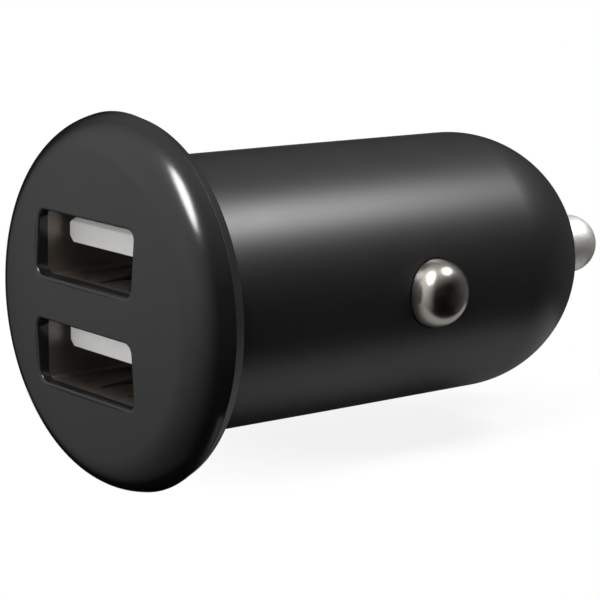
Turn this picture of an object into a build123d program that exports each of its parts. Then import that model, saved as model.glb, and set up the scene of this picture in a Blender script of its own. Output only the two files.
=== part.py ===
from build123d import *
import os
from math import sqrt

# Twin USB charger plug for a 12 V car socket, in millimetres.
# The plug lies along Y: its face looks to -Y, its nose to +Y, and Z is up.
# The origin is on the barrel's axis, in the plane where the flange seats on the socket.

# Housing: barrel, nose and the flange at its mouth
barrel_diameter = 20.8
land_length = 15.5
barrel_draft = 0.05
nose_start = 30.7
nose_bore = 15.2
shell_wall = 1.0
mouth_flange = 1.0
seat_break = 0.1

# Front cap
flange_diameter = 28.0
flange_depth = 4.9
dome_radius = 65.0
edge_round = 3.4
side_lean = 0.6
seam_break = 0.12
cap_wall = 1.3
face_wall = 1.75
inside_bevel = 1.0
window_pitch = 8.1
window_width = 12.4
window_height = 4.8
window_corner = 0.8
window_break = 0.2
pocket_wall = 0.8
pocket_depth = 1.6
snap_width = 6.0
snap_wall = 0.9
snap_reach = 5.6
snap_bead = 0.3
snap_place = 4.4

# Twin USB receptacle
port_pitch = 7.9
port_drop = 0.1
shield_width = 12.5
shield_height = 5.12
shield_sheet = 0.3
shield_corner = 0.35
shield_setback = 1.45
shield_length = 15.0
finger_pitch = 5.6
finger_width = 1.7
finger_gap = 0.35
finger_start = 1.7
finger_length = 5.0
finger_rise = 0.4
tongue_setback = 1.5
tongue_width = 11.1
tongue_thickness = 1.84
tongue_rise = 0.05
tongue_chamfer = 0.45
tongue_lead = 0.3
plug_length = 2.6
back_plate = 1.0
contact_rows = (-3.5, -1.0, 1.0, 3.5)
contact_width = 1.1
contact_sheet = 0.25
contact_channel = 0.12
contact_setback = 0.9
contact_knee = 0.5
contact_foot = 1.3
leg_width = 1.5
leg_reach = 3.0

# Circuit board and its rails in the housing
board_thickness = 1.6
board_width = 17.8
board_length = 18.0
board_corner = 0.8
board_gap = 0.45
rail_width = 0.8
rail_hold = 0.7
rail_lead = 2.0
rail_stop = 0.8
waist_clearance = 0.4

# Side contacts and their bracket
contact_place = 20.4
button_diameter = 5.2
button_height = 2.0
button_travel = 1.9
collar_diameter = 6.6
collar_thickness = 0.8
collar_wall = 1.15
leaf_sheet = 0.25
leaf_width = 3.2
leaf_foot = 3.6
leaf_pressed = 2.0
bracket_sheet = 0.3
bracket_width = 4.6

# Sprung centre tip
tip_diameter = 4.9
tip_stand = 5.65
tip_collar_diameter = 6.8
tip_collar = 0.9
tip_guide = 2.9
tip_spigot = 1.2
tip_travel = 2.5
tip_wire = 0.5
tip_coil = 3.6
tip_turns = 4.0
seat_disc = 5.0
seat_sheet = 0.4
seat_tab_width = 1.6
seat_tab_length = 1.2

# Parts on the board
can_diameter = 5.0
can_height = 4.9
can_base = 0.6
can_base_width = 5.2
can_groove = 0.25
drum_diameter = 5.2
drum_height = 4.2
drum_flange = 0.8
drum_hub = 2.4
chip_length = 4.9
chip_width = 3.9
chip_height = 1.5
chip_pins = 4
chip_pin_pitch = 1.27
chip_span = 6.0
small_chip_length = 2.9
small_chip_width = 1.6
small_chip_height = 1.1
small_chip_pins = 3
small_chip_pin_pitch = 0.95
small_chip_span = 2.8
lead_width = 0.4
lead_sheet = 0.2
diode_row = 4.2
diode_length = 4.2
diode_width = 2.6
diode_height = 2.0
chip_part_rows = (-4.85, -2.25, 2.25, 4.85)
resistor_length = 1.6
resistor_width = 0.8
resistor_height = 0.45
ceramic_length = 2.0
ceramic_width = 1.25
ceramic_height = 1.2
fuse_length = 3.2
fuse_width = 1.6
fuse_height = 0.8

# Clearances
slide_clearance = 0.08
fit_clearance = 0.1
seat_clearance = 0.05

# Sizes that follow
barrel_radius = barrel_diameter / 2
bore_radius = barrel_radius - shell_wall
nose_radius = barrel_radius - barrel_draft
nose_end = nose_start + nose_radius
flange_radius = flange_diameter / 2
port_heights = {"upper": port_pitch / 2 - port_drop, "lower": -port_pitch / 2 - port_drop}
shield_front = shield_setback - flange_depth
shield_rear = shield_front + shield_length
shield_outer_width = shield_width + 2 * shield_sheet
shield_outer_height = shield_height + 2 * shield_sheet
tongue_front = shield_front + tongue_setback
plug_front = shield_rear - plug_length
board_front = shield_rear + back_plate
board_end = board_front + board_length
bore_end = board_end + board_gap
board_top = board_thickness / 2
button_radius = button_diameter / 2
collar_radius = collar_diameter / 2
collar_seat = barrel_radius - collar_wall
collar_back = collar_seat - collar_thickness
waist_length = collar_diameter + 2 * waist_clearance
bracket_face = collar_back - button_travel - leaf_pressed
waist_width = 2 * (bracket_face - bracket_sheet - seat_clearance)
tip_radius = tip_diameter / 2
tip_reach = nose_end + tip_stand
tip_shoulder = nose_end - tip_guide
tip_back = tip_shoulder - seat_clearance - tip_collar
nose_floor = tip_shoulder - tip_travel
seat_face = board_end + seat_sheet

os.makedirs("parts", exist_ok=True)


def snap_ridge(radius):
    """Half section of the snap bead, or of the groove that it springs into."""
    with BuildSketch() as section:
        with BuildLine():
            Polyline(
                (radius - snap_bead, snap_place - 2 * snap_bead),
                (radius, snap_place - 2 * snap_bead),
                (radius + snap_bead, snap_place),
                (radius, snap_place + 2 * snap_bead),
                (radius - snap_bead, snap_place + 2 * snap_bead),
                close=True,
            )
        make_face()
    return section.sketch


# Housing: one moulded bullet shell, open at the flange, with a guide for the tip in its ball nose.
# Its flange shows behind the cap as a thin rim, and a small groove marks the seam between them.
groove = snap_ridge(bore_radius)
with BuildPart() as housing:
    with BuildSketch():
        with BuildLine():
            Polyline(
                (0, nose_end),
                (0, -mouth_flange),
                (flange_radius - seam_break, -mouth_flange),
                (flange_radius, seam_break - mouth_flange),
                (flange_radius, -seat_break),
                (flange_radius - seat_break, 0),
                (barrel_radius, 0),
                (barrel_radius, land_length),
                (nose_radius, nose_start),
            )
            CenterArc((0, nose_start), nose_radius, 0, 90)
        make_face()
    revolve(axis=Axis.Y)
    with BuildSketch(Plane.XZ.offset(mouth_flange)):
        Circle(bore_radius)
    extrude(amount=-mouth_flange - bore_end, mode=Mode.SUBTRACT)
    revolve(groove, axis=Axis.Y, mode=Mode.SUBTRACT)
    with BuildSketch(Plane.XZ.offset(-bore_end)):
        Circle(nose_bore / 2)
    extrude(amount=bore_end - nose_floor, mode=Mode.SUBTRACT)
    # The bore is relieved wherever the receptacle's corners or the board's edges come near its wall
    with BuildSketch(Plane.XZ.offset(mouth_flange)):
        with Locations((0, -port_drop)):
            RectangleRounded(
                shield_outer_width + 2 * seat_clearance,
                port_pitch + shield_outer_height + 2 * seat_clearance,
                shield_corner + shield_sheet,
            )
    extrude(amount=-mouth_flange - board_front - seat_clearance, mode=Mode.SUBTRACT)
    rail_gap = board_thickness + 2 * fit_clearance
    with BuildSketch(Plane.XZ.offset(-board_front + rail_lead)):
        Rectangle(board_width + 2 * fit_clearance, rail_gap)
    extrude(amount=board_front - rail_lead - board_end - seat_clearance, mode=Mode.SUBTRACT)
    # The tip slides in the nose, and a shoulder there stops its collar
    with BuildSketch(Plane.XZ.offset(-nose_floor)):
        Circle(tip_collar_diameter / 2 + 2 * slide_clearance)
    extrude(amount=nose_floor - tip_shoulder, mode=Mode.SUBTRACT)
    with BuildSketch(Plane.XZ.offset(-tip_shoulder)):
        Circle(tip_radius + slide_clearance)
    extrude(amount=tip_shoulder - nose_end, mode=Mode.SUBTRACT)
    # Rails hold the board's long edges in front of and behind the side contacts
    rail_inside = board_width / 2 - rail_hold
    rail_depth = bore_radius + shell_wall / 4 - rail_inside
    rail_span = 2 * rail_inside + rail_depth
    rail_runs = (
        (board_front - rail_lead, contact_place - waist_length / 2),
        (contact_place + waist_length / 2, board_end + rail_stop),
    )
    for run_start, run_end in rail_runs:
        with BuildSketch(Plane.XZ.offset(-run_start)):
            with GridLocations(rail_span, rail_gap + rail_width, 2, 2):
                Rectangle(rail_depth, rail_width)
        extrude(amount=run_start - run_end)
    with BuildSketch(Plane.XZ.offset(-board_end - seat_clearance)):
        with GridLocations(rail_span, 0, 2, 1):
            Rectangle(rail_depth, rail_gap + rail_width)
    extrude(amount=seat_clearance - rail_stop)
    # Holes for the side contacts, with flats inside that their collars rest on
    with BuildSketch(Plane.YZ):
        with Locations((contact_place, 0)):
            Circle(button_radius + slide_clearance)
    extrude(amount=flange_radius, both=True, mode=Mode.SUBTRACT)
    with BuildSketch(Plane.YZ):
        with Locations((contact_place, 0)):
            Circle(collar_radius + 2 * fit_clearance)
    extrude(amount=collar_seat + seat_clearance, both=True, mode=Mode.SUBTRACT)
housing.part.label = "housing"
export_step(housing.part, "parts/housing.step")

# Front cap: a domed shell seated on the housing's flange, with two windows and four snap tongues
snap_radius = bore_radius - fit_clearance
bead = snap_ridge(snap_radius)
with BuildPart() as front_cap:
    with BuildSketch() as outside:
        with BuildLine():
            dome_rim = flange_radius - side_lean
            dome_edge = dome_radius - sqrt(dome_radius**2 - dome_rim**2) - flange_depth
            crown = TangentArc((0, -flange_depth), (dome_rim, dome_edge), tangent=(1, 0))
            Polyline(crown @ 1, (flange_radius, -mouth_flange), (0, -mouth_flange), crown @ 0)
        make_face()
        chamfer(outside.vertices().group_by(Axis.X)[-1], seam_break)
        fillet(outside.vertices().sort_by_distance(crown @ 1)[0], edge_round)
    revolve(axis=Axis.Y)
    with BuildSketch() as inside:
        with Locations((0, -mouth_flange)):
            Rectangle(
                flange_radius - cap_wall,
                flange_depth - mouth_flange - face_wall,
                align=(Align.MIN, Align.MAX),
            )
        chamfer(inside.vertices().group_by(Axis.X)[-1].sort_by(Axis.Y)[0], inside_bevel)
    revolve(axis=Axis.Y, mode=Mode.SUBTRACT)
    # A frame inside the face locates the front ends of the two shields
    with BuildSketch(Plane.XZ.offset(-shield_front - pocket_depth)):
        with Locations((0, -port_drop)):
            Rectangle(
                shield_outer_width + 2 * fit_clearance + 2 * pocket_wall,
                port_pitch + shield_outer_height + 2 * fit_clearance + 2 * pocket_wall,
            )
    extrude(amount=pocket_depth + seat_clearance)
    # The snap tongues are one ring, cut away between the four of them
    with BuildSketch():
        with Locations((snap_radius, snap_reach)):
            Rectangle(snap_wall, snap_reach + flange_depth - face_wall, align=(Align.MAX, Align.MAX))
    revolve(axis=Axis.Y)
    revolve(bead, axis=Axis.Y)
    with BuildSketch(Plane.XZ.offset(mouth_flange)):
        with GridLocations(2 * snap_radius + snap_width, 2 * snap_radius + snap_width, 2, 2):
            Rectangle(2 * snap_radius, 2 * snap_radius)
        Circle(snap_radius + 2 * snap_bead, mode=Mode.INTERSECT)
    extrude(amount=-mouth_flange - snap_reach, mode=Mode.SUBTRACT)
    with BuildSketch(Plane.XZ.offset(seat_clearance - shield_front)):
        with Locations(*[(0, port_height) for port_height in port_heights.values()]):
            RectangleRounded(
                shield_outer_width + 2 * fit_clearance,
                shield_outer_height + 2 * fit_clearance,
                shield_corner + shield_sheet,
            )
    extrude(amount=shield_front - snap_reach, mode=Mode.SUBTRACT)
    with BuildSketch(Plane.XZ.offset(-shield_front)):
        with GridLocations(0, window_pitch, 1, 2):
            RectangleRounded(window_width, window_height, window_corner)
    extrude(amount=flange_depth, mode=Mode.SUBTRACT)
    face = front_cap.faces().sort_by(Axis.Y)[0]
    chamfer([edge for rim in face.inner_wires() for edge in rim.edges()], window_break)
front_cap.part.label = "front_cap"
export_step(front_cap.part, "parts/front_cap.step")


def port_shield(port_height, side):
    """Folded sheet shield of one port: a tube with sprung fingers and two legs to the board."""
    leg_plane = shield_width / 2 + shield_sheet / 2
    leg_far = port_height - side * (shield_height / 2 - leg_width)
    leg_near = leg_far - side * leg_width
    with BuildPart() as shield:
        with BuildSketch(Plane.XZ.offset(-shield_front)):
            with Locations((0, port_height)):
                RectangleRounded(shield_outer_width, shield_outer_height, shield_corner + shield_sheet)
                RectangleRounded(shield_width, shield_height, shield_corner, mode=Mode.SUBTRACT)
        extrude(amount=-shield_length)
        # Each finger is rooted towards the mouth and bends into the port
        with BuildSketch(Plane.XY.offset(port_height)):
            with Locations((0, shield_front + finger_start)):
                with GridLocations(finger_pitch, 0, 2, 1):
                    Rectangle(
                        finger_width + 2 * finger_gap,
                        finger_length + finger_gap,
                        align=(Align.CENTER, Align.MIN),
                    )
        extrude(amount=shield_outer_height, both=True, mode=Mode.SUBTRACT)
        for row in (-finger_pitch / 2, finger_pitch / 2):
            for wall in (-1, 1):
                flat = port_height + wall * (shield_height + shield_sheet) / 2
                root = shield_front + finger_start
                with BuildSketch(Plane.YZ.offset(row)):
                    with BuildLine():
                        Polyline(
                            (root - finger_gap, flat),
                            (root, flat),
                            (root + 0.75 * finger_length, flat - wall * finger_rise),
                            (root + finger_length, flat - wall * finger_rise / 3),
                        )
                    trace(line_width=shield_sheet)
                extrude(amount=finger_width / 2, both=True)
        for cheek in (-leg_plane, leg_plane):
            with BuildSketch(Plane.YZ.offset(cheek)):
                with BuildLine():
                    Polyline(
                        (shield_rear, leg_far),
                        (board_front + leg_reach, leg_far),
                        (board_front + leg_reach, side * board_top),
                        (board_front + leg_reach - leg_width, side * board_top),
                        (board_front + leg_reach - leg_width, leg_near),
                        (shield_rear, leg_near),
                        close=True,
                    )
                make_face()
            extrude(amount=shield_sheet / 2, both=True)
    return shield.part


port_sides = {"upper": 1, "lower": -1}
for name, side in port_sides.items():
    shield = port_shield(port_heights[name], side)
    shield.label = f"{name}_port_shield"
    export_step(shield, f"parts/{name}_port_shield.step")

# Port insulator: one white moulding, with a tongue and a plug in each shield and a plate behind
with BuildPart() as port_insulator:
    with BuildSketch(Plane.XZ.offset(-shield_rear)):
        with Locations((0, -port_drop)):
            Rectangle(shield_width - 2 * fit_clearance, port_pitch + shield_height - 2 * fit_clearance)
    extrude(amount=-back_plate)
    for port_height in port_heights.values():
        with BuildSketch(Plane.XZ.offset(-plug_front)) as plug:
            with Locations((0, port_height)):
                Rectangle(shield_width - 2 * seat_clearance, shield_height - 2 * seat_clearance)
            chamfer(plug.vertices(), shield_corner)
        extrude(amount=-plug_length)
        tongue_low = port_height + tongue_rise
        with BuildSketch(Plane.XZ.offset(-tongue_front)) as tongue:
            with Locations((0, tongue_low)):
                Rectangle(tongue_width, tongue_thickness, align=(Align.CENTER, Align.MIN))
            chamfer(tongue.vertices().group_by(Axis.Z)[-1], tongue_chamfer)
        extrude(amount=tongue_front - plug_front)
        # The tongue's top front edge leads the plug in
        tongue_top = tongue_low + tongue_thickness
        front_edges = port_insulator.edges().filter_by_position(
            Axis.Y, tongue_front - seat_clearance, tongue_front + seat_clearance
        )
        top_edge = front_edges.filter_by_position(
            Axis.Z, tongue_top - seat_clearance, tongue_top + seat_clearance
        )
        chamfer(top_edge, tongue_lead)
        # Channels under the tongue run on through the plug and the plate, one for each contact
        with BuildSketch(Plane.XZ.offset(-tongue_front - contact_setback)):
            for row in contact_rows:
                with Locations((row, tongue_low + contact_channel)):
                    Rectangle(
                        contact_width + fit_clearance,
                        contact_sheet + seat_clearance,
                        align=(Align.CENTER, Align.MAX),
                    )
        extrude(amount=tongue_front + contact_setback - board_front, mode=Mode.SUBTRACT)
port_insulator.part.label = "port_insulator"
export_step(port_insulator.part, "parts/port_insulator.step")


def port_contact(row, port_height, side):
    """One contact strip: along the tongue's underside, out at the back and down to a foot on the board."""
    blade = port_height + tongue_rise + contact_channel - contact_sheet / 2
    foot = side * (board_top + contact_sheet / 2)
    knee = board_front + contact_knee
    with BuildPart() as contact:
        with BuildSketch(Plane.YZ.offset(row)):
            with BuildLine():
                Polyline(
                    (tongue_front + contact_setback + seat_clearance, blade),
                    (knee, blade),
                    (knee, foot),
                    (knee + contact_foot, foot),
                )
            trace(line_width=contact_sheet)
        extrude(amount=contact_width / 2, both=True)
    return contact.part


for name, side in port_sides.items():
    for number, row in enumerate(contact_rows, start=1):
        contact = port_contact(row, port_heights[name], side)
        contact.label = f"{name}_port_contact_{number}"
        export_step(contact, f"parts/{name}_port_contact_{number}.step")

# Circuit board: slides along the rails, with a waist between the two side contacts
with BuildPart() as circuit_board:
    with BuildSketch(Plane.XY.offset(-board_top)) as outline:
        with Locations((0, board_front)):
            Rectangle(board_width, board_length, align=(Align.CENTER, Align.MIN))
        fillet(outline.vertices(), board_corner)
        with Locations((0, contact_place)):
            with GridLocations(board_width + waist_width, 0, 2, 1):
                Rectangle(board_width, waist_length, mode=Mode.SUBTRACT)
    extrude(amount=board_thickness)
circuit_board.part.label = "circuit_board"
export_step(circuit_board.part, "parts/circuit_board.step")

# Side contacts: domed buttons, each with a collar that stops it inside the housing
with BuildPart() as right_side_contact:
    button_crown = barrel_radius + button_height
    dome_base = button_crown - button_radius
    with BuildSketch(Plane((0, contact_place, 0))):
        with BuildLine():
            Polyline(
                (button_crown, 0),
                (collar_back, 0),
                (collar_back, collar_radius),
                (collar_seat, collar_radius),
                (collar_seat, button_radius),
                (dome_base, button_radius),
            )
            CenterArc((dome_base, 0), button_radius, 0, 90)
        make_face()
    revolve(axis=Axis((0, contact_place, 0), (1, 0, 0)))
right_side_contact.part.label = "right_side_contact"
export_step(right_side_contact.part, "parts/right_side_contact.step")

with BuildPart() as left_side_contact:
    mirror(right_side_contact.part, about=Plane.YZ)
left_side_contact.part.label = "left_side_contact"
export_step(left_side_contact.part, "parts/left_side_contact.step")

# Ground bracket: a folded strip that stands on the waist's edges and backs both side springs
with BuildPart() as ground_bracket:
    with BuildSketch(Plane.XZ.offset(-contact_place)):
        with BuildLine():
            mid_plane = bracket_face - bracket_sheet / 2
            FilletPolyline(
                (-mid_plane, -bracket_width / 2),
                (-mid_plane, bracket_width / 2),
                (mid_plane, bracket_width / 2),
                (mid_plane, -bracket_width / 2),
                radius=bracket_sheet,
            )
        trace(line_width=bracket_sheet)
    extrude(amount=bracket_width / 2, both=True)
ground_bracket.part.label = "ground_bracket"
export_step(ground_bracket.part, "parts/ground_bracket.step")

# Side springs: bowed leaves, with both feet on the bracket and the bow against the contact's collar
with BuildPart() as right_side_spring:
    with BuildSketch(Plane.XZ.offset(-contact_place)):
        with BuildLine():
            ThreePointArc(
                (bracket_face + leaf_sheet / 2, -leaf_foot / 2),
                (collar_back - leaf_sheet / 2, 0),
                (bracket_face + leaf_sheet / 2, leaf_foot / 2),
            )
        trace(line_width=leaf_sheet)
    extrude(amount=leaf_width / 2, both=True)
right_side_spring.part.label = "right_side_spring"
export_step(right_side_spring.part, "parts/right_side_spring.step")

with BuildPart() as left_side_spring:
    mirror(right_side_spring.part, about=Plane.YZ)
left_side_spring.part.label = "left_side_spring"
export_step(left_side_spring.part, "parts/left_side_spring.step")

# Tip contact: turned and plated, round-ended, with a collar and a spigot that centres its spring
with BuildPart() as tip_contact:
    with BuildSketch():
        with BuildLine():
            Polyline(
                (0, tip_reach),
                (0, tip_back - tip_spigot),
                (tip_coil / 2 - tip_wire, tip_back - tip_spigot),
                (tip_coil / 2 - tip_wire, tip_back),
                (tip_collar_diameter / 2, tip_back),
                (tip_collar_diameter / 2, tip_back + tip_collar),
                (tip_radius, tip_back + tip_collar),
                (tip_radius, tip_reach - tip_radius),
            )
            CenterArc((0, tip_reach - tip_radius), tip_radius, 0, 90)
        make_face()
    revolve(axis=Axis.Y)
tip_contact.part.label = "tip_contact"
export_step(tip_contact.part, "parts/tip_contact.step")

# Tip spring: wound from the seat to the tip's collar, its wire drawn with six flats
with BuildPart() as tip_spring:
    spring_length = tip_back - seat_face - tip_wire
    with BuildLine() as winding:
        Helix(
            spring_length / tip_turns,
            spring_length,
            tip_coil / 2,
            (0, seat_face + tip_wire / 2, 0),
            (0, 1, 0),
        )
    with BuildSketch(Plane(origin=winding.line @ 0, z_dir=winding.line % 0)):
        RegularPolygon(tip_wire / 2, 6)
    sweep(is_frenet=True)
tip_spring.part.label = "tip_spring"
export_step(tip_spring.part, "parts/tip_spring.step")

# Tip spring seat: a brass disc across the board's end, with a tab soldered along its top
with BuildPart() as tip_spring_seat:
    with BuildSketch(Plane.XZ.offset(-board_end)):
        Circle(seat_disc / 2)
    extrude(amount=-seat_sheet)
    with BuildSketch(Plane.XY.offset(board_top)):
        with Locations((0, seat_face)):
            Rectangle(seat_tab_width, seat_sheet + seat_tab_length, align=(Align.CENTER, Align.MAX))
    extrude(amount=seat_sheet)
tip_spring_seat.part.label = "tip_spring_seat"
export_step(tip_spring_seat.part, "parts/tip_spring_seat.step")


def on_board(x, y, side, across=(1, 0, 0)):
    """Plane on the board's top (side 1) or underside (side -1), with its x along across."""
    return Plane(origin=(x, y, side * board_top), x_dir=across, z_dir=(0, 0, side))


def chip_body(place, length, width, height):
    """Moulded chip body, standing off the board on its leads, with a dimple by its first pin."""
    with BuildPart() as body:
        with BuildSketch(place.offset(seat_clearance)):
            Rectangle(width, length)
        extrude(amount=height - seat_clearance)
        chamfer(body.faces().sort_by(Axis(place.origin, place.z_dir))[-1].edges(), lead_sheet)
        with BuildSketch(place.offset(height)):
            with Locations((-width / 4, length / 4)):
                Circle(lead_width / 2)
        extrude(amount=-lead_sheet / 2, mode=Mode.SUBTRACT)
    return body.part


def chip_leads(place, width, height, span, pins, pitch):
    """Bent leads of a chip: out from both long sides, down, and flat on the board."""
    foot = (span - width) / 4
    with BuildPart() as leads:
        for pin in range(pins):
            along = (pin - (pins - 1) / 2) * pitch
            origin = place.from_local_coords((0, along, 0))
            with BuildSketch(Plane(origin=origin, x_dir=place.x_dir, z_dir=place.x_dir.cross(place.z_dir))):
                for way in (-1, 1):
                    with BuildLine():
                        Polyline(
                            (way * width / 2, height / 2),
                            (way * (span / 2 - foot), height / 2),
                            (way * (span / 2 - foot), lead_sheet / 2),
                            (way * span / 2, lead_sheet / 2),
                        )
                    trace(line_width=lead_sheet)
            extrude(amount=lead_width / 2, both=True)
    return leads.part


def can_capacitor(place):
    """Electrolytic capacitor: a square base with two cut corners and a grooved aluminium can."""
    with BuildPart() as base:
        with BuildSketch(place) as outline:
            Rectangle(can_base_width, can_base_width)
            chamfer(outline.vertices().group_by(Axis.Y)[-1], can_base)
        extrude(amount=can_base)
    with BuildPart() as can:
        with BuildSketch(place.offset(can_base)):
            Circle(can_diameter / 2)
        extrude(amount=can_height - can_base)
        chamfer(can.faces().sort_by(Axis(place.origin, place.z_dir))[-1].edges(), can_groove)
        with BuildSketch(place.offset(can_base + 3 * can_groove)):
            Circle(can_diameter / 2)
            Circle(can_diameter / 2 - can_groove, mode=Mode.SUBTRACT)
        extrude(amount=2 * can_groove, mode=Mode.SUBTRACT)
    return base.part, can.part


def chip_component(place, length, width, height, cap):
    """Ceramic chip part: a block with a slightly larger plated cap at each end."""
    with BuildPart() as component:
        with BuildSketch(place):
            Rectangle(width, length)
        extrude(amount=height)
        with BuildSketch(place.offset(height)):
            with GridLocations(0, length - cap, 1, 2):
                Rectangle(width, cap)
        extrude(amount=seat_clearance)
    return component.part


# The tall parts stand behind the waist, on either side of the seat's tab
feet_end = board_front + contact_knee + contact_foot
front_zone = (feet_end + contact_place - waist_length / 2) / 2
rear_zone = (contact_place + bracket_width / 2 + board_end) / 2
can_row = seat_tab_width / 2 + fit_clearance + can_base_width / 2
drum_row = seat_tab_width / 2 + fit_clearance + drum_diameter / 2

for name, place in (
    ("input_capacitor", on_board(-can_row, rear_zone, 1)),
    ("output_capacitor", on_board(can_row, rear_zone, -1)),
):
    base, can = can_capacitor(place)
    base.label = f"{name}_base"
    can.label = f"{name}_can"
    export_step(base, f"parts/{name}_base.step")
    export_step(can, f"parts/{name}_can.step")

# Inductor: a ferrite drum with its copper winding between the flanges
drum_place = on_board(drum_row, rear_zone, 1)
with BuildPart() as inductor_core:
    with BuildSketch(drum_place):
        Circle(drum_diameter / 2)
    extrude(amount=drum_height)
    with BuildSketch(drum_place.offset(drum_flange)):
        Circle(drum_diameter / 2)
        Circle(drum_hub / 2, mode=Mode.SUBTRACT)
    extrude(amount=drum_height - 2 * drum_flange, mode=Mode.SUBTRACT)
inductor_core.part.label = "inductor_core"
export_step(inductor_core.part, "parts/inductor_core.step")

with BuildPart() as inductor_winding:
    with BuildSketch(drum_place.offset(drum_flange + seat_clearance)):
        Circle(drum_diameter / 2 - 2 * seat_clearance)
        Circle(drum_hub / 2 + seat_clearance, mode=Mode.SUBTRACT)
    extrude(amount=drum_height - 2 * drum_flange - 2 * seat_clearance)
inductor_winding.part.label = "inductor_winding"
export_step(inductor_winding.part, "parts/inductor_winding.step")

# Converter chip under the board's waist, and the port control chip behind the upper port
converter_place = on_board(0, contact_place, -1)
converter_chip = chip_body(converter_place, chip_length, chip_width, chip_height)
converter_chip.label = "converter_chip"
export_step(converter_chip, "parts/converter_chip.step")
converter_chip_leads = chip_leads(
    converter_place, chip_width, chip_height, chip_span, chip_pins, chip_pin_pitch
)
converter_chip_leads.label = "converter_chip_leads"
export_step(converter_chip_leads, "parts/converter_chip_leads.step")

control_place = on_board(0, feet_end + fit_clearance + small_chip_span / 2, 1, (0, 1, 0))
port_control_chip = chip_body(control_place, small_chip_length, small_chip_width, small_chip_height)
port_control_chip.label = "port_control_chip"
export_step(port_control_chip, "parts/port_control_chip.step")
port_control_chip_leads = chip_leads(
    control_place, small_chip_width, small_chip_height, small_chip_span, small_chip_pins, small_chip_pin_pitch
)
port_control_chip_leads.label = "port_control_chip_leads"
export_step(port_control_chip_leads, "parts/port_control_chip_leads.step")

# Small parts: diode and fuse in the supply line, resistors above and ceramic capacitors below
small_parts = [
    ("rectifier_diode", on_board(-diode_row, rear_zone, -1), diode_length, diode_width, diode_height),
    ("input_fuse", on_board(0, contact_place, 1, (0, 1, 0)), fuse_length, fuse_width, fuse_height),
]
for number, row in enumerate(chip_part_rows, start=1):
    place = on_board(row, front_zone, 1)
    small_parts.append((f"chip_resistor_{number}", place, resistor_length, resistor_width, resistor_height))
for number, row in enumerate(chip_part_rows, start=1):
    place = on_board(row, front_zone, -1)
    small_parts.append((f"chip_capacitor_{number}", place, ceramic_length, ceramic_width, ceramic_height))
for name, place, length, width, height in small_parts:
    component = chip_component(place, length, width, height, length / 5)
    component.label = name
    export_step(component, f"parts/{name}.step")
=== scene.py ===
from math import cos, pi, radians, sin, sqrt

import bpy
from mathutils import Matrix, Vector


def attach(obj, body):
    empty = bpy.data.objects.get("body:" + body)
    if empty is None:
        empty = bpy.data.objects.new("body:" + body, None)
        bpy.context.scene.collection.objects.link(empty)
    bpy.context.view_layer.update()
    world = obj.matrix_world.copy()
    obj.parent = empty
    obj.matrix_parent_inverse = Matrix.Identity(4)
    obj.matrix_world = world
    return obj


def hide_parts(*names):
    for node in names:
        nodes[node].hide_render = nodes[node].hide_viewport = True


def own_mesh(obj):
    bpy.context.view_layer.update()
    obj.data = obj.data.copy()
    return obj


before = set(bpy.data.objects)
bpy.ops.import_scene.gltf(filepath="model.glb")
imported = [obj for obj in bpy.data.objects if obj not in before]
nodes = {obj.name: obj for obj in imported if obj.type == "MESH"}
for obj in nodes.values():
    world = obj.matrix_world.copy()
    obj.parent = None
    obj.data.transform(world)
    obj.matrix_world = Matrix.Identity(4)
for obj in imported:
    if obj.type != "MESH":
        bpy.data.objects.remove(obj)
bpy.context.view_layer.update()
mm = 0.001

# Circuit board: glass laminate under green solder mask, milled to shape, sliding in the housing's rails.
# Copper tracks show through the mask as slightly raised, paler lines.


class Wire:
    """A socket in a material or the world; arithmetic on wires adds the Math nodes for it."""

    def __init__(self, tree, socket):
        self.tree = tree
        self.socket = socket

    def node(self, kind, settings, sockets, output=0):
        """Add a node of any type: its settings first, then the values or wires of its sockets."""
        made = self.tree.nodes.new(kind)
        for name, value in settings.items():
            setattr(made, name, value)
        for name, value in sockets.items():
            if isinstance(value, Wire):
                self.tree.links.new(value.socket, made.inputs[name])
            else:
                made.inputs[name].default_value = value
        return Wire(self.tree, made.outputs[output])

    def feed(self, socket):
        self.tree.links.new(self.socket, socket)

    def maths(self, operation, first, second):
        return self.node("ShaderNodeMath", {"operation": operation}, {0: first, 1: second})

    def __add__(self, other):
        return self.maths("ADD", self, other)

    def __radd__(self, other):
        return self.maths("ADD", other, self)

    def __sub__(self, other):
        return self.maths("SUBTRACT", self, other)

    def __rsub__(self, other):
        return self.maths("SUBTRACT", other, self)

    def __mul__(self, other):
        return self.maths("MULTIPLY", self, other)

    def __rmul__(self, other):
        return self.maths("MULTIPLY", other, self)

    def __truediv__(self, other):
        return self.maths("DIVIDE", self, other)

    def between(self, low, high):
        """This value, from 0 to 1, taken between two colours."""
        return self.node(
            "ShaderNodeMix", {"data_type": "RGBA"}, {0: self, 6: (*low, 1), 7: (*high, 1)}, 2
        )

    def noise(self, grain, detail=2.0):
        """Noise over these coordinates, with grains of about the given size in metres."""
        return self.node(
            "ShaderNodeTexNoise", {}, {"Vector": self, "Scale": 1 / grain, "Detail": detail}
        )

    def stretched(self, x, y, z):
        """These coordinates, scaled along each axis."""
        return self.node("ShaderNodeMapping", {}, {"Vector": self, "Scale": (x, y, z)})

    def relief(self, depth):
        """This value as the height of a bump of the given depth in metres."""
        return self.node(
            "ShaderNodeBump", {}, {"Height": self, "Distance": depth, "Strength": 1.0}
        )


def new_finish(name):
    """An empty material, its shader, and a wire of the piece's own coordinates."""
    material = bpy.data.materials.new(name)
    material.use_nodes = True
    tree = material.node_tree
    place = Wire(tree, tree.nodes.new("ShaderNodeTexCoord").outputs["Object"])
    return material, tree.nodes["Principled BSDF"].inputs, place


def dress(material, *names):
    """Give CAD nodes a finish."""
    for name in names:
        for slot in nodes[name].material_slots:
            slot.material = material


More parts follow.
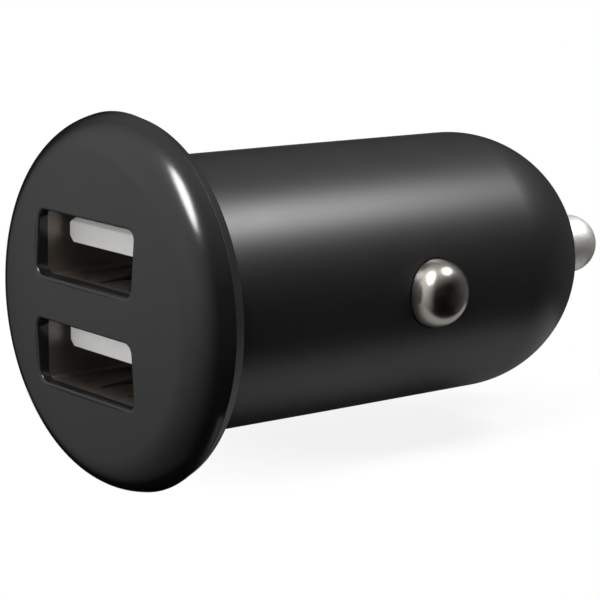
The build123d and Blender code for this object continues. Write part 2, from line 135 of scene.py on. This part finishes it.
track_pitch = 4.0
track_width = 0.04
laminate, shader, place = new_finish("board_laminate")
tracks = place.node(
    "ShaderNodeTexBrick",
    {"offset": 0.5, "squash": 1.0},
    {
        "Vector": place,
        "Color1": (0, 0, 0, 1),
        "Color2": (0, 0, 0, 1),
        "Mortar": (1, 1, 1, 1),
        "Scale": 1 / (track_pitch * mm),
        "Mortar Size": track_width,
    },
)
tracks.between((0.010, 0.10, 0.045), (0.03, 0.22, 0.10)).feed(shader["Base Color"])
(0.32 + 0.15 * place.noise(0.6 * mm)).feed(shader["Roughness"])
tracks.relief(0.03 * mm).feed(shader["Normal"])
dress(laminate, "circuit_board")

# Parts on the board: chips in moulded epoxy with tinned leads, fired ceramic chip parts with plated ends,
# aluminium-can capacitors, and a ferrite drum wound with enamelled copper. All are soldered on.


def plain_finish(name, dark, pale, grain, rough, relief, metal=0.0):
    """A finish whose colour, gloss and relief follow one noise; grain and relief are in millimetres."""
    material, shader, place = new_finish(name)
    grains = place.noise(grain * mm, 4.0)
    grains.between(dark, pale).feed(shader["Base Color"])
    (rough - 0.1 + 0.2 * grains).feed(shader["Roughness"])
    grains.relief(relief * mm).feed(shader["Normal"])
    shader["Metallic"].default_value = metal
    return material


dress(
    plain_finish(
        "component_plastic",
        dark=(0.015, 0.015, 0.016),
        pale=(0.045, 0.045, 0.047),
        grain=0.15,
        rough=0.55,
        relief=0.004,
    ),
    "converter_chip",
    "port_control_chip",
    "rectifier_diode",
    "input_capacitor_base",
    "output_capacitor_base",
)
dress(
    plain_finish(
        "tinned_leads",
        dark=(0.55, 0.55, 0.54),
        pale=(0.75, 0.75, 0.73),
        grain=0.3,
        rough=0.35,
        relief=0.003,
        metal=1.0,
    ),
    "converter_chip_leads",
    "port_control_chip_leads",
)
dress(
    plain_finish(
        "chip_ceramic",
        dark=(0.46, 0.36, 0.27),
        pale=(0.62, 0.52, 0.42),
        grain=0.2,
        rough=0.4,
        relief=0.003,
    ),
    "input_fuse",
    *[f"chip_resistor_{number}" for number in range(1, 5)],
    *[f"chip_capacitor_{number}" for number in range(1, 5)],
)
dress(
    plain_finish(
        "ferrite",
        dark=(0.03, 0.03, 0.033),
        pale=(0.07, 0.07, 0.075),
        grain=0.1,
        rough=0.6,
        relief=0.006,
    ),
    "inductor_core",
)

can_aluminium, shader, place = new_finish("can_aluminium")
drawn = place.stretched(1, 1, 0.05).noise(0.08 * mm)
drawn.between((0.68, 0.69, 0.70), (0.82, 0.83, 0.84)).feed(shader["Base Color"])
(0.22 + 0.18 * drawn).feed(shader["Roughness"])
shader["Metallic"].default_value = 1.0
dress(can_aluminium, "input_capacitor_can", "output_capacitor_can")

winding_pitch = 1.1
copper, shader, place = new_finish("copper_winding")
turns = place.node(
    "ShaderNodeTexWave",
    {"bands_direction": "Z"},
    {"Vector": place, "Scale": 1 / (winding_pitch * mm), "Distortion": 0.4},
    1,
)
# The colour darkens in the grooves between the turns, a painted shade that follows their relief.
turns.between((0.35, 0.12, 0.05), (0.70, 0.33, 0.17)).feed(shader["Base Color"])
(0.28 + 0.1 * turns).feed(shader["Roughness"])
turns.relief(0.08 * mm).feed(shader["Normal"])
shader["Metallic"].default_value = 1.0
dress(copper, "inductor_winding")

# Spring seat and ground bracket: folded from rolled brass sheet, with the rolling lines along it.
# The seat closes the board's end for the tip's spring, and the bracket stands on the board's waist between
# the side springs.
brass, shader, place = new_finish("brass_sheet")
rolled = place.stretched(1, 0.06, 1).noise(0.12 * mm, 3.0)
rolled.between((0.62, 0.46, 0.21), (0.80, 0.64, 0.36)).feed(shader["Base Color"])
(0.2 + 0.2 * rolled).feed(shader["Roughness"])
rolled.relief(0.004 * mm).feed(shader["Normal"])
shader["Metallic"].default_value = 1.0
dress(brass, "tip_spring_seat", "ground_bracket")

# Side springs: leaves of phosphor bronze, bowed between the bracket and the collar of each side contact.
# Pressing a contact flattens its leaf against the bracket.
merge_gap = 0.001
smooth_below = 30


def begin(name):
    """Name the primitive just added and open it for editing, all selected."""
    piece = bpy.context.object
    piece.name = piece.data.name = name
    bpy.ops.object.mode_set(mode="EDIT")
    bpy.ops.mesh.select_all(action="SELECT")
    return piece


def close(smooth_angle=smooth_below):
    """Merge doubles, turn the faces outwards, and leave edit mode with round forms shaded smooth."""
    bpy.ops.mesh.select_all(action="SELECT")
    bpy.ops.mesh.remove_doubles(threshold=merge_gap * mm)
    bpy.ops.mesh.normals_make_consistent(inside=False)
    bpy.ops.object.mode_set(mode="OBJECT")
    bpy.ops.object.transform_apply(location=True, rotation=True, scale=True)
    bpy.ops.object.shade_smooth_by_angle(angle=radians(smooth_angle))


def fit_out(piece, material, body, slot, *stands_for):
    """Give a new piece its finish and the body it rides on, and hide the nodes it stands for; the slot
    argument is not used.
    """
    piece.data.materials.append(material)
    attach(piece, body)
    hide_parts(*stands_for)


contact_place = 20.4
bracket_face = 4.55
leaf_sheet = 0.25
leaf_width = 3.2
leaf_foot = 3.6
leaf_bow = 3.65
leaf_steps = 32
bronze, shader, place = new_finish("spring_bronze")
rolled = place.stretched(1, 1, 0.08).noise(0.1 * mm, 3.0)
rolled.between((0.52, 0.33, 0.16), (0.74, 0.52, 0.30)).feed(shader["Base Color"])
(0.22 + 0.18 * rolled).feed(shader["Roughness"])
shader["Metallic"].default_value = 1.0
bow_radius = (leaf_foot**2 / 4 + leaf_bow**2) / (2 * leaf_bow)
bow_centre = bracket_face + leaf_sheet / 2 + leaf_bow - bow_radius
half_bow = Vector((bow_radius - leaf_bow, leaf_foot / 2)).angle(Vector((1, 0)))
for name, way in (("right", 1), ("left", -1)):
    bpy.ops.object.select_all(action="DESELECT")
    bpy.ops.mesh.primitive_plane_add(size=mm, location=(0, contact_place * mm, 0))
    spring = begin(f"{name}_side_leaf")
    bpy.ops.transform.resize(value=(leaf_sheet, leaf_width, 1))
    bpy.ops.transform.translate(value=(way * (bow_centre + bow_radius) * mm, 0, 0))
    pivot = (way * bow_centre * mm, contact_place * mm, 0)
    bpy.ops.transform.rotate(value=-half_bow, orient_axis="Y", center_override=pivot)
    bpy.ops.mesh.spin(steps=leaf_steps, angle=2 * half_bow, center=pivot, axis=(0, 1, 0))
    close()
    fit_out(spring, bronze, "plug", "spring_bronze", f"{name}_side_spring")
    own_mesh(spring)

# Tip spring: a coil of drawn steel wire between the brass seat and the tip's collar.
# It shortens towards the seat when the tip is pressed.
seat_face = 30.95
tip_back = 37.2
tip_wire = 0.5
wire_sides = 12
wire_smooth = 60
tip_coil = 3.6
tip_turns = 4
turn_steps = 32
spring_length = tip_back - seat_face
wire_steel, shader, place = new_finish("spring_steel")
drawn = place.noise(0.08 * mm, 3.0)
drawn.between((0.46, 0.46, 0.46), (0.63, 0.63, 0.62)).feed(shader["Base Color"])
(0.25 + 0.15 * drawn).feed(shader["Roughness"])
shader["Metallic"].default_value = 1.0
bpy.ops.object.select_all(action="DESELECT")
bpy.ops.mesh.primitive_circle_add(vertices=wire_sides, radius=tip_wire / 2 * mm)
spring = begin("tip_coil_spring")
bpy.ops.transform.translate(value=(tip_coil / 2 * mm, (seat_face + tip_wire / 2) * mm, 0))
bpy.ops.object.mode_set(mode="OBJECT")
winding = spring.modifiers.new("winding", "SCREW")
winding.axis = "Y"
winding.angle = 2 * pi
winding.screw_offset = (spring_length - tip_wire) / tip_turns * mm
winding.iterations = tip_turns
winding.steps = winding.render_steps = turn_steps
bpy.ops.object.modifier_apply(modifier="winding")
bpy.ops.object.mode_set(mode="EDIT")
bpy.ops.mesh.select_all(action="SELECT")
bpy.ops.mesh.remove_doubles(threshold=merge_gap * mm)
bpy.ops.mesh.fill_holes(sides=wire_sides)
close(wire_smooth)
fit_out(spring, wire_steel, "plug", "spring_steel", "tip_spring")
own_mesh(spring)

# Port contacts: four sprung strips in each port, stamped from sheet and flashed with gold.
# They lie in channels under the tongue and are bent down to the board behind the ports.
gilt, shader, place = new_finish("gilt_contact")
rolled = place.stretched(1, 0.05, 1).noise(0.08 * mm, 3.0)
rolled.between((0.72, 0.50, 0.20), (0.90, 0.70, 0.36)).feed(shader["Base Color"])
(0.15 + 0.2 * rolled).feed(shader["Roughness"])
shader["Metallic"].default_value = 1.0
dress(gilt, *[f"{port}_port_contact_{number}" for port in ("upper", "lower") for number in range(1, 5)])

# Port insulator: one white moulding, with a tongue in each port and a plate behind them.
# Its edges come out of the mould slightly rounded.
flat_within = 1
mould_round = 0.06
white_moulding, shader, place = new_finish("white_insulator")
flow = place.noise(1.5 * mm)
flow.between((0.82, 0.82, 0.80), (0.90, 0.90, 0.88)).feed(shader["Base Color"])
(0.38 + 0.12 * flow).feed(shader["Roughness"])
place.noise(0.12 * mm).relief(0.004 * mm).feed(shader["Normal"])
bpy.ops.object.select_all(action="DESELECT")
insulator = bpy.data.objects.new("port_moulding", nodes["port_insulator"].data.copy())
bpy.context.scene.collection.objects.link(insulator)
insulator.data.materials.clear()
insulator.select_set(True)
bpy.context.view_layer.objects.active = insulator
begin("port_moulding")
bpy.ops.mesh.remove_doubles(threshold=merge_gap * mm)
bpy.ops.mesh.dissolve_limited(angle_limit=radians(flat_within))
bpy.ops.object.mode_set(mode="OBJECT")
rounding = insulator.modifiers.new("rounding", "BEVEL")
rounding.width = mould_round * mm
rounding.segments = 2
rounding.limit_method = "ANGLE"
bpy.ops.object.modifier_apply(modifier="rounding")
bpy.ops.object.mode_set(mode="EDIT")
close()
fit_out(insulator, white_moulding, "plug", "white_insulator", "port_insulator")

# Port shields: tubes folded from nickel-plated sheet, with sprung fingers cut into them.
# The sheet is brushed along the port.
steel, shader, place = new_finish("shield_steel")
brushed = place.stretched(1, 0.03, 1).noise(0.06 * mm, 3.0)
brushed.between((0.25, 0.22, 0.20), (0.36, 0.32, 0.29)).feed(shader["Base Color"])
(0.34 + 0.2 * brushed).feed(shader["Roughness"])
brushed.relief(0.003 * mm).feed(shader["Normal"])
shader["Metallic"].default_value = 1.0
dress(steel, "upper_port_shield", "lower_port_shield")

# Housing: one bullet-shaped shell moulded in black plastic, with a flange at its mouth and a ball nose.
# The tip slides in the nose, the side contacts come out through holes in the barrel, and rails inside
# hold the board.
round_steps = 192
small_round_steps = 96


def arc(centre, radius, start, end, steps):
    """Points along an arc in an outline; the angles run in degrees from the radius towards the axis."""
    turn = [radians(start + (end - start) * step / steps) for step in range(steps + 1)]
    return [(centre[0] + radius * cos(angle), centre[1] + radius * sin(angle)) for angle in turn]


def turned(name, outline, steps, origin=(0, 0, 0), axis=(0, 1, 0), across=(1, 0, 0)):
    """Spin an outline of (radius, length along the axis) points, in millimetres, into a round piece."""
    axis, across = Vector(axis), Vector(across)
    points = [mm * (Vector(origin) + across * radius + axis * along) for radius, along in outline]
    bpy.ops.object.select_all(action="DESELECT")
    bpy.ops.mesh.primitive_plane_add(size=mm)
    piece = begin(name)
    bpy.ops.mesh.merge(type="CENTER")
    bpy.ops.transform.translate(value=points[0])
    for last, point in zip(points, points[1:]):
        bpy.ops.mesh.extrude_region_move(TRANSFORM_OT_translate={"value": point - last})
    bpy.ops.mesh.select_all(action="SELECT")
    bpy.ops.mesh.spin(steps=steps, angle=2 * pi, center=mm * Vector(origin), axis=axis)
    close()
    return piece


def combine(piece, other, operation="DIFFERENCE"):
    """Take another shape out of a piece, or add it with UNION, and remove the other shape."""
    bpy.ops.object.select_all(action="DESELECT")
    piece.select_set(True)
    bpy.context.view_layer.objects.active = piece
    combining = piece.modifiers.new("combining", "BOOLEAN")
    combining.operation = operation
    combining.solver = "EXACT"
    combining.object = other
    bpy.ops.object.modifier_apply(modifier="combining")
    bpy.data.objects.remove(other)
    bpy.ops.object.shade_smooth_by_angle(angle=radians(smooth_below))


def block(low, high, corner=0.0):
    """A block between two corners, in millimetres, with its edges along Y rounded."""
    low, high = Vector(low), Vector(high)
    bpy.ops.object.select_all(action="DESELECT")
    bpy.ops.mesh.primitive_plane_add(size=mm, rotation=(pi / 2, 0, 0))
    made = begin("block")
    bpy.ops.transform.resize(value=(high.x - low.x, 1, high.z - low.z))
    if corner:
        bpy.ops.mesh.bevel(offset=corner * mm, offset_type="OFFSET", affect="VERTICES", segments=8)
    centre = Vector(((low.x + high.x) / 2, low.y, (low.z + high.z) / 2))
    bpy.ops.transform.translate(value=mm * centre)
    bpy.ops.mesh.extrude_region_move(TRANSFORM_OT_translate={"value": (0, (high.y - low.y) * mm, 0)})
    close()
    return made


def bar(radius, reach):
    """A round bar along X through the place of the side contacts, in millimetres."""
    bpy.ops.object.select_all(action="DESELECT")
    bpy.ops.mesh.primitive_cylinder_add(
        vertices=small_round_steps,
        radius=radius * mm,
        depth=2 * reach * mm,
        location=(0, contact_place * mm, 0),
        rotation=(0, pi / 2, 0),
    )
    made = begin("bar")
    close()
    return made


def black_moulding(name, gloss):
    """Black plastic with faint flow marks from the mould and a fine skin."""
    material, shader, place = new_finish(name)
    flow = place.noise(4 * mm)
    skin = place.noise(0.25 * mm, 3.0)
    flow.between((0.005, 0.005, 0.005), (0.008, 0.008, 0.009)).feed(shader["Base Color"])
    (gloss - 0.03 + 0.03 * flow + 0.03 * skin).feed(shader["Roughness"])
    skin.relief(0.001 * mm).feed(shader["Normal"])
    return material


satin_black = black_moulding("black_satin_plastic", 0.40)
barrel_radius = 10.4
flange_radius = 14.0
rim_width = 1.0
rim_lean = 0.3
rim_round = 0.3
rim_break = 0.02
land_length = 15.5
nose_start = 30.7
nose_radius = 10.35
bore_radius = 9.4
bore_end = 31.0
nose_bore = 7.6
nose_floor = 35.65
tip_shoulder = 38.15
tip_guide = 2.53
collar_room = 3.56
snap_place = 4.4
snap_bead = 0.3
nose_edge = sqrt(nose_radius**2 - tip_guide**2)
nose_angle = 90 - Vector((0, 1)).angle(Vector((tip_guide, nose_edge))) * 180 / pi
rim_angle = Vector((rim_width - rim_round, rim_lean)).angle(Vector((1, 0))) * 180 / pi
housing = turned(
    "housing_shell",
    [
        (bore_radius, -rim_width),
        (flange_radius - 2 * rim_break, -rim_width),
        (flange_radius - rim_break, -rim_width),
        (flange_radius, rim_break - rim_width),
        *arc((flange_radius - rim_lean - rim_round, -rim_round), rim_round, rim_angle, 90, steps=8),
        (barrel_radius, 0),
        (barrel_radius, land_length),
        *arc((0, nose_start), nose_radius, 0, nose_angle, steps=40),
        (tip_guide, tip_shoulder),
        (collar_room, tip_shoulder),
        (collar_room, nose_floor),
        (nose_bore, nose_floor),
        (nose_bore, bore_end),
        (bore_radius, bore_end),
        (bore_radius, snap_place + 2 * snap_bead),
        (bore_radius + snap_bead, snap_place),
        (bore_radius, snap_place - 2 * snap_bead),
        (bore_radius, -rim_width),
    ],
    round_steps,
)
shield_half_width = 6.55
shield_half_height = 2.86
shield_corner = 0.65
shield_room = 0.05
port_heights = upper_port, lower_port = (3.85, -4.05)
board_front = 12.55
ports_half_width = shield_half_width + shield_room
combine(
    housing,
    block(
        (-ports_half_width, -2 * rim_width, lower_port - shield_half_height - shield_room),
        (ports_half_width, board_front, upper_port + shield_half_height + shield_room),
        shield_corner,
    ),
)
rail_inside = 8.2
rail_outside = 9.65
rail_low = 0.9
rail_high = 1.7
rail_runs = ((10.55, 16.7), (24.1, 31.2))
rail_end = rail_runs[-1][-1]
board_stop = 30.6
stop_high = (rail_low + rail_high) / 2
for way in (1, -1):
    inside, outside = sorted((way * rail_inside, way * rail_outside))
    for start, end in rail_runs:
        for low, high in ((rail_low, rail_high), (-rail_high, -rail_low)):
            combine(housing, block((inside, start, low), (outside, end, high)), "UNION")
    combine(housing, block((inside, board_stop, -stop_high), (outside, rail_end, stop_high)), "UNION")
hole_radius = 2.68
collar_flat = 9.3
collar_room_radius = 3.5
combine(housing, bar(hole_radius, flange_radius))
combine(housing, bar(collar_room_radius, collar_flat))
fit_out(housing, satin_black, "plug", "black_gloss_plastic", "housing")

# Side contacts: turned brass buttons under polished nickel, one on each side of the barrel.
# A collar holds each in its hole, and the leaf spring behind it pushes it out.


def nickel_finish(name, dull, bright, gloss):
    """Nickel plating with faint handling marks."""
    material, shader, place = new_finish(name)
    marks = place.noise(0.5 * mm, 3.0)
    marks.between(dull, bright).feed(shader["Base Color"])
    (gloss - 0.05 + 0.10 * marks).feed(shader["Roughness"])
    marks.relief(0.0015 * mm).feed(shader["Normal"])
    shader["Metallic"].default_value = 1.0
    return material


polished_nickel = nickel_finish(
    "polished_nickel", dull=(0.40, 0.375, 0.34), bright=(0.48, 0.455, 0.42), gloss=0.25
)
button_radius = 2.6
button_crown = 12.4
dome_foot = button_crown - button_radius
crown_square = 0.74
crown_steps = 24
collar_radius = 3.3
collar_seat = 9.25
collar_back = 8.45
crown = []
for step in range(crown_steps + 1):
    turn = pi / 2 * step / crown_steps
    out = button_radius * cos(turn) ** crown_square
    crown.append((out, dome_foot + button_radius * sin(turn) ** crown_square))
for name, way in (("right", 1), ("left", -1)):
    button = turned(
        f"{name}_button",
        [
            (0, collar_back),
            (collar_radius, collar_back),
            (collar_radius, collar_seat),
            (button_radius, collar_seat),
            *crown,
        ],
        small_round_steps,
        origin=(0, contact_place, 0),
        axis=(way, 0, 0),
        across=(0, 1, 0),
    )
    fit_out(button, polished_nickel, f"{name}_contact", "nickel_plate", f"{name}_side_contact")

# Tip contact: turned brass under satin nickel, with a round end that stands out of the nose.
# A collar stops it inside the nose, and a spigot behind the collar centres its spring.
tip_radius = 2.45
tip_reach = 46.7
tip_collar_radius = 3.4
tip_collar = 0.9
spigot_radius = 1.3
spigot = 1.2
tip = turned(
    "tip_pin",
    [
        (0, tip_back - spigot),
        (spigot_radius, tip_back - spigot),
        (spigot_radius, tip_back),
        (tip_collar_radius, tip_back),
        (tip_collar_radius, tip_back + tip_collar),
        (tip_radius, tip_back + tip_collar),
        *arc((0, tip_reach - tip_radius), tip_radius, 0, 90, steps=24),
    ],
    small_round_steps,
)
satin_nickel = nickel_finish(
    "satin_nickel", dull=(0.80, 0.78, 0.74), bright=(0.90, 0.88, 0.84), gloss=0.50
)
fit_out(tip, satin_nickel, "tip", "nickel_plate", "tip_contact")

# Front cap: a domed shell moulded in the same black plastic, seated on the housing's flange.
# Two windows with softly rounded lips open onto the ports, a frame behind them holds the shields, and
# four snap tongues hold the cap in the housing's mouth.
gloss_black = black_moulding("black_gloss_plastic", 0.19)
flange_depth = 4.9
dome_radius = 65.0
edge_round = 3.4
side_lean = 0.6
seam_break = 0.05
cap_wall = 1.3
face_wall = 1.75
inside_bevel = 1.0
dome_rim = flange_radius - side_lean
dome_middle = dome_radius - flange_depth
rim_point = Vector((flange_radius, -rim_width))
dome_edge = Vector((dome_rim, dome_middle - sqrt(dome_radius**2 - dome_rim**2)))
side = (rim_point - dome_edge).normalized()
inward = Vector((-side.y, side.x))
round_start = rim_point + edge_round * inward
from_dome = round_start - Vector((0, dome_middle))
reach = from_dome.dot(side)
along_side = -reach - sqrt(reach**2 - from_dome.length_squared + (dome_radius - edge_round) ** 2)
round_centre = round_start + along_side * side
lean_angle = Vector((0, 1)).angle(side) * 180 / pi
inner_face = face_wall - flange_depth
dome_angle = Vector((0, -1)).angle(round_centre - Vector((0, dome_middle))) * 180 / pi
cap = turned(
    "cap_shell",
    [
        *arc((0, dome_middle), dome_radius, -90, dome_angle - 90, steps=20),
        *arc(round_centre, edge_round, dome_angle - 90, -lean_angle, steps=32)[1:],
        tuple(rim_point - 2 * seam_break * side),
        tuple(rim_point - seam_break * side),
        (flange_radius - seam_break, -rim_width),
        (flange_radius - cap_wall, -rim_width),
        (flange_radius - cap_wall, inner_face + inside_bevel),
        (flange_radius - cap_wall - inside_bevel, inner_face),
        (0, inner_face),
    ],
    round_steps,
)
frame_half_width = 7.45
frame_wall = 0.9
frame_back = -1.85
shield_front = -3.45
frame_half_height = shield_half_height + frame_wall
combine(
    cap,
    block(
        (-frame_half_width, shield_front - shield_room, lower_port - frame_half_height),
        (frame_half_width, frame_back, upper_port + frame_half_height),
    ),
    "UNION",
)
snap_room = 0.1
snap_radius = bore_radius - snap_room
snap_wall = 0.9
snap_reach = 5.6
snap_width = 6.0
past_end = 1.0
ring = turned(
    "snap_ring",
    [
        (snap_radius - snap_wall, shield_front),
        (snap_radius, shield_front),
        (snap_radius, snap_place - 2 * snap_bead),
        (snap_radius + snap_bead, snap_place),
        (snap_radius, snap_place + 2 * snap_bead),
        (snap_radius, snap_reach),
        (snap_radius - snap_wall, snap_reach),
        (snap_radius - snap_wall, shield_front),
    ],
    round_steps,
)
for across in (1, -1):
    for way in (1, -1):
        low_x, high_x = sorted((across * snap_width / 2, across * flange_radius))
        low_z, high_z = sorted((way * snap_width / 2, way * flange_radius))
        combine(ring, block((low_x, -rim_width, low_z), (high_x, snap_reach + past_end, high_z)))
combine(cap, ring, "UNION")
pocket_room = 0.1
pocket_half_width = shield_half_width + pocket_room
for port_height in port_heights:
    pocket_floor = port_height - shield_half_height - pocket_room
    pocket_roof = port_height + shield_half_height + pocket_room
    pocket = block(
        (-pocket_half_width, shield_front - shield_room, pocket_floor),
        (pocket_half_width, snap_reach + past_end, pocket_roof),
        shield_corner,
    )
    combine(cap, pocket)
window_width = 12.4
window_height = 4.8
window_corner = 0.8
window_lip = 0.25
lip_steps = 8
window_pitch = 8.1
lip_rings = [(window_lip - flange_depth, 0.0)]
for step in range(1, lip_steps + 1):
    turn = radians(90 * step / lip_steps)
    lip_rings.append((window_lip * (1 - sin(turn)) - flange_depth, window_lip * (1 - cos(turn))))
lip_rings.append((-flange_depth - 2 * past_end, window_lip))
for way in (1, -1):
    bpy.ops.object.select_all(action="DESELECT")
    bpy.ops.mesh.primitive_plane_add(size=mm, rotation=(pi / 2, 0, 0))
    cutter = begin("window_cutter")
    bpy.ops.transform.resize(value=(window_width, 1, window_height))
    bpy.ops.mesh.bevel(offset=window_corner * mm, offset_type="OFFSET", affect="VERTICES", segments=8)
    centre = (0, 0, way * window_pitch / 2 * mm)
    depth, flare = inner_face + past_end, 0.0
    bpy.ops.transform.translate(value=(0, depth * mm, way * window_pitch / 2 * mm))
    for ring_depth, ring_flare in lip_rings:
        outwards = (0, (ring_depth - depth) * mm, 0)
        bpy.ops.mesh.extrude_region_move(TRANSFORM_OT_translate={"value": outwards})
        grow_width = (window_width + 2 * ring_flare) / (window_width + 2 * flare)
        grow_height = (window_height + 2 * ring_flare) / (window_height + 2 * flare)
        bpy.ops.transform.resize(value=(grow_width, 1, grow_height), center_override=centre)
        depth, flare = ring_depth, ring_flare
    close()
    for vertex in cutter.data.vertices:
        if vertex.co.y < inner_face * mm:
            from_axis = Vector((vertex.co.x, vertex.co.z)).length / mm
            vertex.co.y += (dome_radius - sqrt(dome_radius**2 - from_axis**2)) * mm
    combine(cap, cutter)
fit_out(cap, gloss_black, "plug", "black_gloss_plastic", "front_cap")

# Studio: a white table, a small soft box behind and above, a long one up in front, a weak one below that, and
# a pale front wall in a dim room. The camera sees plain white past the table, and on the table a glow that
# grows towards its edges, a painted light that fades the plug's shadow out there. Gloss sees it where the
# picture has it, behind the plug, and elsewhere sees dim walls and the table painted a darker grey for gloss
# only, a painted dim reflection, as in the photograph.
table_low = (-28, 0.5)
table_high = (17, 58)
table_height = -14.02
table_white = (0.80, 0.80, 0.80)
table_painted_dim_in_gloss = (0.28, 0.28, 0.28)
table_glow = 0.86
glow_start = 0.4
table_middle = (Vector(table_high) + Vector(table_low)) / 2
table_half = (Vector(table_high) - Vector(table_low)) / 2


def rays(tree):
    """1 for rays that the camera or glass sends out, and 1 for those that a gloss sends out."""
    sight = tree.nodes.new("ShaderNodeLightPath").outputs
    camera_ray = Wire(tree, sight["Is Camera Ray"])
    glass_ray = Wire(tree, sight["Is Transmission Ray"])
    return camera_ray.maths("MAXIMUM", camera_ray, glass_ray), Wire(tree, sight["Is Glossy Ray"])


def fade(value, low, high, to_low, to_high):
    """A value taken from one range to another, and held at its ends."""
    return value.node(
        "ShaderNodeMapRange",
        {},
        {"Value": value, "From Min": low, "From Max": high, "To Min": to_low, "To Max": to_high},
    )


white_table, shader, place = new_finish("white_table")
tree = white_table.node_tree
to_camera, to_gloss = rays(tree)
# Painted reflection: glossy rays see the table in a darker grey than its own white, so its reflection in the
# plug is dimmed.
to_gloss.between(table_white, table_painted_dim_in_gloss).feed(shader["Base Color"])
(0.85 + 0.1 * place.noise(2 * mm)).feed(shader["Roughness"])
shader["Specular IOR Level"].default_value = 0.0
# Painted light: for the camera the table's glow share rises from table_glow at its middle to full at its
# edges, washing its shadow out towards the edges.
spread = place.node(
    "ShaderNodeMapping",
    {},
    {
        "Vector": place,
        "Location": (-table_middle.x / table_half.x, -table_middle.y / table_half.y, 0),
        "Scale": (1 / table_half.x / mm, 1 / table_half.y / mm, 0),
    },
)
outward = spread.node("ShaderNodeVectorMath", {"operation": "LENGTH"}, {0: spread}, 1)
glow_share = fade(outward, glow_start, 1.0, table_glow, 1.0)
painted = Wire(tree, tree.nodes["Principled BSDF"].outputs[0])
glow = place.node("ShaderNodeEmission", {}, {"Color": (1, 1, 1, 1), "Strength": 1.0})
place.node("ShaderNodeMixShader", {}, {0: glow_share * to_camera, 1: painted, 2: glow}).feed(
    tree.nodes["Material Output"].inputs["Surface"]
)
bpy.ops.object.select_all(action="DESELECT")
bpy.ops.mesh.primitive_plane_add(size=mm)
table = begin("table_top")
bpy.ops.transform.resize(value=(2 * table_half.x, 2 * table_half.y, 1))
bpy.ops.transform.translate(value=mm * Vector((*table_middle, table_height)))
close()
table.data.materials.append(white_table)

front_way = (-0.225, -0.974, 0)
front_edge, front_full = 0.17, 0.93
front_foot, front_top, front_height = 0.08, 1.05, 0.29
ceiling_start, ceiling_top = 0.22, 0.70
back_way = (0.1, 0.995, 0)
back_edge, back_level = 0.70, 0.14
picture_way = (-0.77, 0.608, -0.193)
picture_edge, picture_full = 0.966, 0.985
world = bpy.data.worlds.new("studio")
bpy.context.scene.world = world
world.use_nodes = True
tree = world.node_tree
facing = Wire(tree, tree.nodes.new("ShaderNodeTexCoord").outputs["Generated"])
to_camera, to_gloss = rays(tree)


def towards(direction):
    """How far a ray of the world points in a direction."""
    return facing.node("ShaderNodeVectorMath", {"operation": "DOT_PRODUCT"}, {0: facing, 1: direction}, 1)


height = towards((0, 0, 1))
level = height.maths("SQRT", 1 - height * height, 0)
front = fade(towards(front_way) / level, front_edge, front_full, 0.0, 1.0)
front_wall = fade(height, -1.0, front_height, front_foot, front_top)
ceiling = fade(height.maths("ARCSINE", height, 0), ceiling_start, pi / 2, 0.0, ceiling_top)
back_wall = fade(towards(back_way), back_edge, 1.0, 0.0, back_level)
walls = ceiling + back_wall + front * (front_wall - ceiling)
backdrop = fade(towards(picture_way), picture_edge, picture_full, 0.0, 1.0)
white = to_camera + to_gloss * backdrop
(white + (1 - white) * walls).feed(tree.nodes["Background"].inputs["Strength"])
tree.nodes["Background"].inputs["Color"].default_value = (1, 1, 1, 1)

lamp_aim = Vector((0, 18 * mm, 0))


def soft_box(name, direction, along, distance, width, length, radiance):
    """A rounded area lamp that faces the plug from a direction, with its length along another."""
    lamp = bpy.data.lights.new(name, "AREA")
    lamp.shape = "ELLIPSE"
    lamp.size = width
    lamp.size_y = length
    lamp.energy = radiance * pi * pi / 4 * width * length
    holder = bpy.data.objects.new(name, lamp)
    bpy.context.scene.collection.objects.link(holder)
    toward = Vector(direction).normalized()
    across = Vector(along).cross(toward).normalized()
    turn = Matrix((across, toward.cross(across), toward)).transposed().to_4x4()
    holder.matrix_world = Matrix.Translation(lamp_aim + toward * distance) @ turn
    return holder


soft_box(
    "back_box",
    direction=(0.368, 0.48, 0.797),
    along=(-0.9, 0, 0.43),
    distance=0.25,
    width=0.07,
    length=0.10,
    radiance=27.0,
)
fill = soft_box(
    "fill_box",
    direction=(0.45, -0.88, 0.15),
    along=(0, 0, 1),
    distance=0.3,
    width=0.12,
    length=0.12,
    radiance=4.0,
)
fill.visible_glossy = False
soft_box(
    "front_box",
    direction=(0.30, -0.442, 0.845),
    along=(-0.75, 0.43, 0.50),
    distance=0.25,
    width=0.06,
    length=0.17,
    radiance=28.0,
)

# Camera: a long lens a little above the plug, on the side of its face and its right-hand contact.
# Its place, in millimetres, and its focal length, in the photograph's pixels, come from fitting the plug's
# outline to the photograph.
azimuth, elevation, roll = radians(51.744), radians(11.108), radians(0.641)
camera_distance = 170.87
camera_aside = 12.172
camera_above = 0.091
focal_pixels = 2330.6
photo_pixels = 600
sensor_width = 36
back = Vector((sin(azimuth) * cos(elevation), -cos(azimuth) * cos(elevation), sin(elevation)))
sideways = Vector((cos(azimuth), sin(azimuth), 0))
upright = back.cross(sideways)
right = cos(roll) * sideways + sin(roll) * upright
up = cos(roll) * upright - sin(roll) * sideways
camera = bpy.data.objects.new("camera", bpy.data.cameras.new("camera"))
bpy.context.scene.collection.objects.link(camera)
camera.data.sensor_width = sensor_width
camera.data.lens = sensor_width * focal_pixels / photo_pixels
camera.data.clip_start = 0.01
position = mm * (camera_distance * back + camera_aside * right + camera_above * up)
camera.matrix_world = Matrix.Translation(position) @ Matrix((right, up, back)).transposed().to_4x4()
bpy.context.scene.camera = camera
bpy.context.scene.view_settings.view_transform = "Standard"
